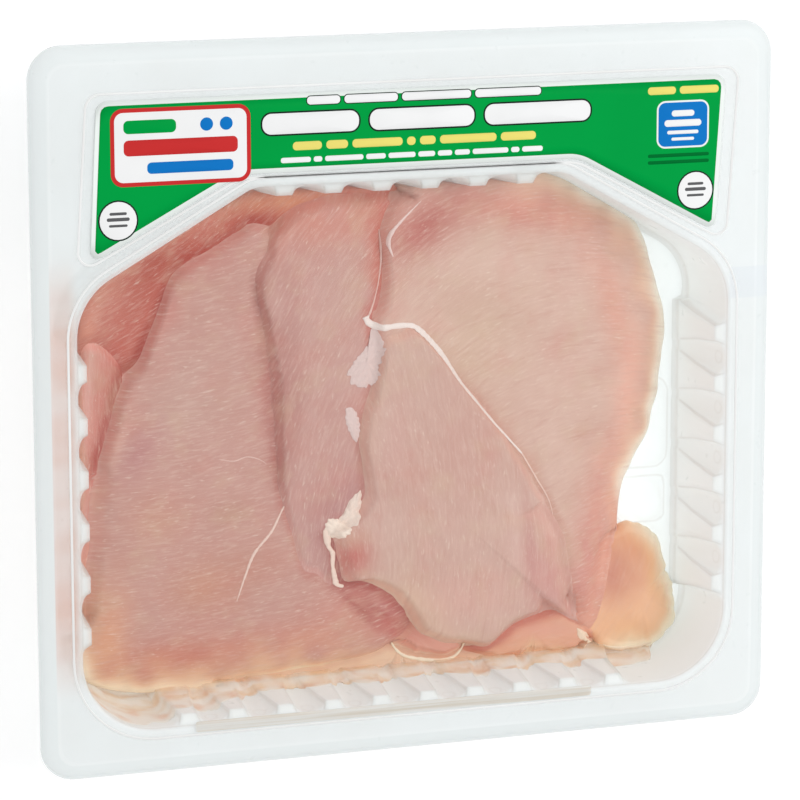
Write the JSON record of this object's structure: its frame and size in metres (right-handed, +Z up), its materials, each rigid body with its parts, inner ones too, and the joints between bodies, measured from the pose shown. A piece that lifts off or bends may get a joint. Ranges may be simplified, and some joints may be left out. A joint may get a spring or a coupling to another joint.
{
  "type": "shut clear tray pack of raw thin-sliced chicken breast",
  "caption": "Shut milky-clear plastic tray with a clear lid film and a green printed label over overlapping raw thin chicken breast slices.",
  "frame": {"origin": "centre of the pack's footprint, on the plane that the tray stands on", "axes": "+X across the pack to the right as the label is read, +Y towards the label, +Z up through the lid film"},
  "size_m": [0.2502, 0.236, 0.034],
  "materials": {
    "tray_plastic": "milky translucent, satin",
    "lid_film": "clear, glossy, stretched flat",
    "label_print": "printed, semi-gloss",
    "strip_print": "thin translucent tape",
    "meat": "moist raw meat, satin",
    "meat_deep": "moist raw meat in shade, satin",
    "meat_fat": "moist raw meat with pale fat, satin"
  },
  "bodies": {
    "root": {"tray": "tray_plastic", "lid_film": "lid_film", "label": "label_print", "wrap_strip": "strip_print", "slice_base": "meat_fat", "slice_corner": "meat_fat", "piece_front": "meat_fat", "slice_under": "meat_fat", "slice_back_left": "meat_deep", "strip_left": "meat_deep", "slice_left": "meat", "slice_middle": "meat", "slice_right": "meat", "slice_front": "meat"}
  },
  "joints": []
}
